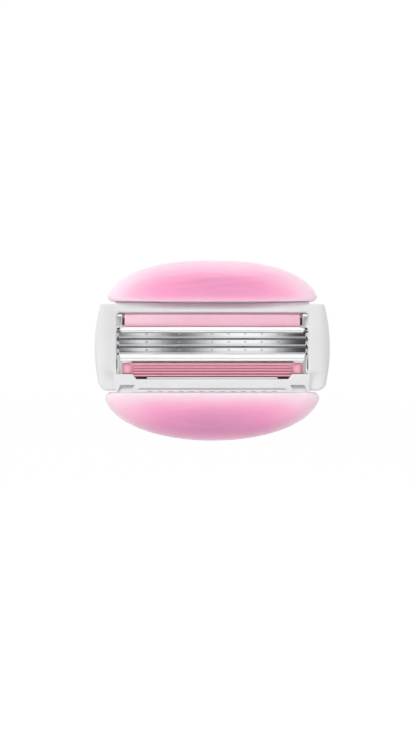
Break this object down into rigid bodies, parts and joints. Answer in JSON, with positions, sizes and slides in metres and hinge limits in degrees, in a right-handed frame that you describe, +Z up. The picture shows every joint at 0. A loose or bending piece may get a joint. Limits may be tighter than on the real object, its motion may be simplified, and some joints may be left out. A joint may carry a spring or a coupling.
{
  "type": "razor cartridge",
  "caption": "Razor cartridge: sprung blades in a white frame between hinged pink gel bars, with a lubricating strip, a soft finned guard and a pivoting yoke that docks onto a handle.",
  "frame": {"origin": "centre of the floor of the socket in the yoke, where the tip of a handle seats", "axes": "+X along the blades to the right as seen from the shaving side, +Y out of the socket towards the handle, +Z up towards the lubricating strip; the blades face -Y"},
  "size_m": [0.0442, 0.0172, 0.0338],
  "materials": {
    "white_plastic": "white moulded plastic, satin",
    "blade_steel": "polished stainless strip with a ground edge",
    "support_steel": "plain stainless sheet",
    "clip_aluminium": "plain bent sheet",
    "pink_gel": "translucent pink shave gel, satin",
    "pale_pink_strip": "pale pink lubricant, satin",
    "rose_elastomer": "rose elastomer, satin"
  },
  "bodies": {
    "yoke_body": {"yoke": "white_plastic"},
    "head": {"outer_frame": "white_plastic", "blade_housing": "white_plastic", "lubricating_strip": "pale_pink_strip", "guard_fins": "rose_elastomer", "blade_clip_left": "clip_aluminium", "blade_clip_right": "clip_aluminium", "blade_finger_1_left": "white_plastic", "blade_finger_1_right": "white_plastic", "blade_finger_2_left": "white_plastic", "blade_finger_2_right": "white_plastic", "blade_finger_3_left": "white_plastic", "blade_finger_3_right": "white_plastic", "upper_wing_spring_left": "white_plastic", "upper_wing_spring_right": "white_plastic", "lower_wing_spring_left": "white_plastic", "lower_wing_spring_right": "white_plastic"},
    "blade_1": {"blade_strip_1": "blade_steel", "blade_support_1": "support_steel"},
    "blade_2": {"blade_strip_2": "blade_steel", "blade_support_2": "support_steel"},
    "blade_3": {"blade_strip_3": "blade_steel", "blade_support_3": "support_steel"},
    "upper_wing": {"upper_gel_bar": "pink_gel", "upper_tray": "white_plastic"},
    "lower_wing": {"lower_gel_bar": "pink_gel", "lower_tray": "white_plastic"}
  },
  "joints": [
    {"name": "head_pivot", "type": "hinge", "parent": "yoke_body", "child": "head", "pos_m": [0, -0.004, 0], "axis": [-1, 0, 0], "range_deg": [0, 44]},
    {"name": "blade_1_float", "type": "slide", "parent": "head", "child": "blade_1", "axis": [0, 1, 0], "range_m": [0, 0.0004], "stiffness_N_per_m": 300, "springref_m": -0.0004, "deforming": ["blade_finger_1_left", "blade_finger_1_right"]},
    {"name": "blade_2_float", "type": "slide", "parent": "head", "child": "blade_2", "axis": [0, 1, 0], "range_m": [0, 0.0004], "stiffness_N_per_m": 300, "springref_m": -0.0004, "deforming": ["blade_finger_2_left", "blade_finger_2_right"]},
    {"name": "blade_3_float", "type": "slide", "parent": "head", "child": "blade_3", "axis": [0, 1, 0], "range_m": [0, 0.0004], "stiffness_N_per_m": 300, "springref_m": -0.0004, "deforming": ["blade_finger_3_left", "blade_finger_3_right"]},
    {"name": "upper_wing_flex", "type": "hinge", "parent": "head", "child": "upper_wing", "pos_m": [0, -0.0043, 0.00978], "axis": [-1, 0, 0], "range_deg": [0, 25], "stiffness_Nm_per_rad": 0.02, "springref_deg": -5.73, "deforming": ["upper_wing_spring_left", "upper_wing_spring_right"]},
    {"name": "lower_wing_flex", "type": "hinge", "parent": "head", "child": "lower_wing", "pos_m": [0, -0.0043, -0.0047], "axis": [1, 0, 0], "range_deg": [0, 25], "stiffness_Nm_per_rad": 0.02, "springref_deg": -5.73, "deforming": ["lower_wing_spring_left", "lower_wing_spring_right"]}
  ]
}
